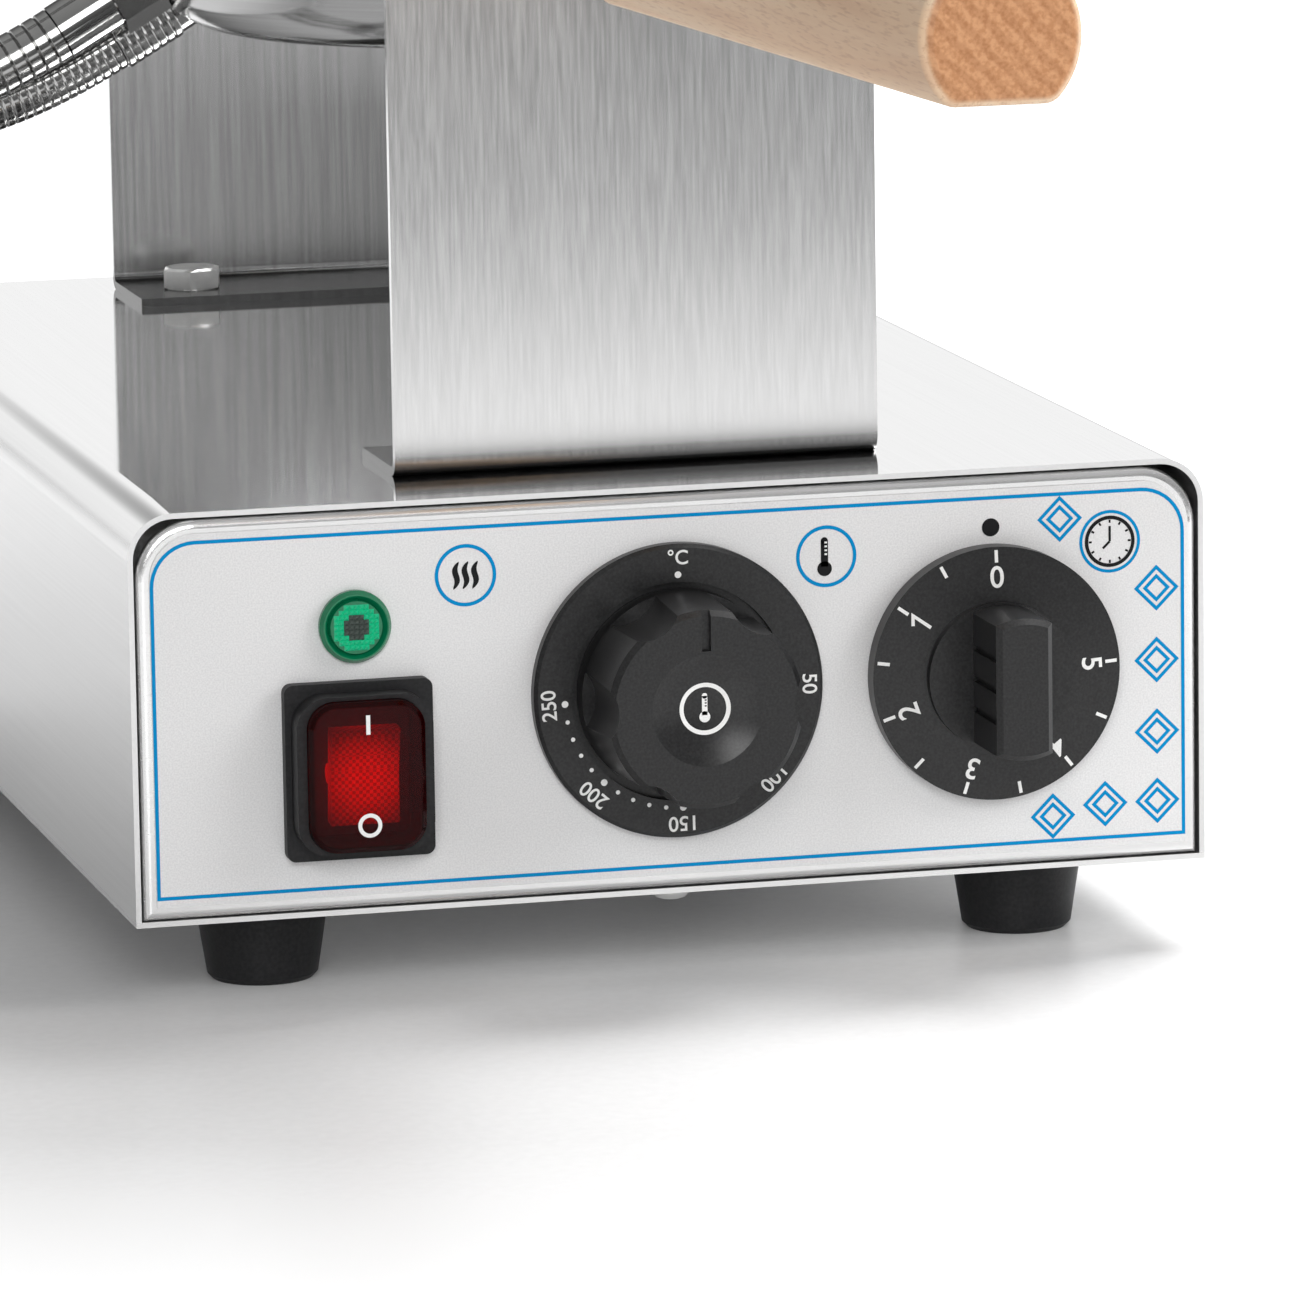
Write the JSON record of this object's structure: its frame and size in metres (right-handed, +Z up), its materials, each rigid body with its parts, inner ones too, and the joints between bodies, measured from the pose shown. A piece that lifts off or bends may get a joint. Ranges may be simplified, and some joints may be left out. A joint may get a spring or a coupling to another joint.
{
  "type": "waffle cone maker",
  "caption": "Countertop waffle cone maker: a round pan that turns over between two uprights, with wooden handles, steel hoses and a steel control box",
  "frame": {"origin": "on the table, under the middle of the object's length and width without its hoses", "axes": "+Y from the handles to the back, +X to the right seen from the front, +Z up"},
  "size_m": [0.3439, 0.638, 0.3296],
  "materials": {
    "stainless_sheet": "brushed",
    "panel_print": "fine grain",
    "black_rubber": "matte",
    "green_lens": "faceted",
    "red_lens": "clear",
    "black_plastic": "satin",
    "bright_steel": "bright",
    "bronze": "turned",
    "cast_iron": "coated",
    "heater_sheath": "oxidised",
    "beech": "sanded"
  },
  "bodies": {
    "base": {"housing_shell": "stainless_sheet", "front_panel": "stainless_sheet", "panel_overlay": "panel_print", "rear_panel": "stainless_sheet", "bottom_plate": "stainless_sheet", "rubber_feet": "black_rubber", "front_upright": "stainless_sheet", "rear_upright": "stainless_sheet", "upright_bolts": "bright_steel", "upright_nuts": "bright_steel", "bearing_bush": "bronze", "lamp_lens": "green_lens", "lamp_body": "black_plastic", "switch_frame": "black_rubber", "switch_window": "red_lens", "switch_body": "black_plastic", "thermostat_dial": "black_plastic", "thermostat_body": "black_plastic", "timer_body": "black_plastic", "terminal_block": "black_plastic", "mains_inlet_gland": "black_plastic", "pan_cable_gland": "black_plastic"},
    "pan": {"pan_shaft": "bright_steel", "shaft_nut": "bright_steel", "shaft_grommet": "black_rubber", "pan_yoke": "cast_iron", "hinge_pin": "bright_steel", "lower_plate": "cast_iron", "lower_dome": "stainless_sheet", "lower_heater": "heater_sheath", "lower_journal": "cast_iron", "lower_rod": "bright_steel", "lower_ferrule": "bright_steel", "lower_grip": "beech", "lower_gland_nut": "bright_steel", "lower_hose_ferrules": "bright_steel", "hose_one": "bright_steel", "hose_two": "bright_steel"},
    "lid": {"upper_plate": "cast_iron", "upper_dome": "stainless_sheet", "upper_heater": "heater_sheath", "upper_journal": "cast_iron", "upper_rod": "bright_steel", "upper_ferrule": "bright_steel", "upper_grip": "beech", "upper_gland_nut": "bright_steel", "upper_hose_ferrules": "bright_steel"},
    "power_rocker": {"power_rocker": "red_lens"},
    "thermostat": {"thermostat_knob": "black_plastic", "thermostat_spindle": "bright_steel"},
    "timer": {"timer_knob": "black_plastic", "timer_spindle": "bright_steel"}
  },
  "joints": [
    {"name": "pan_flip", "type": "hinge", "parent": "base", "child": "pan", "pos_m": [0, 0.125, 0.2467], "axis": [0, 1, 0], "range_deg": [0, 180]},
    {"name": "lid_open", "type": "hinge", "parent": "pan", "child": "lid", "pos_m": [0, 0.247, 0.2467], "axis": [1, 0, 0], "range_deg": [-95, 0], "deforming": ["hose_one", "hose_two"]},
    {"name": "power_rock", "type": "hinge", "parent": "base", "child": "power_rocker", "pos_m": [-0.071, -0.0694, 0.0512], "axis": [1, 0, 0], "range_deg": [-12, 0]},
    {"name": "thermostat_turn", "type": "hinge", "parent": "base", "child": "thermostat", "pos_m": [0, -0.0654, 0.0642], "axis": [0, 1, 0], "range_deg": [0, 270]},
    {"name": "timer_turn", "type": "hinge", "parent": "base", "child": "timer", "pos_m": [0.071, -0.0654, 0.0642], "axis": [0, 1, 0], "range_deg": [0, 285]}
  ]
}
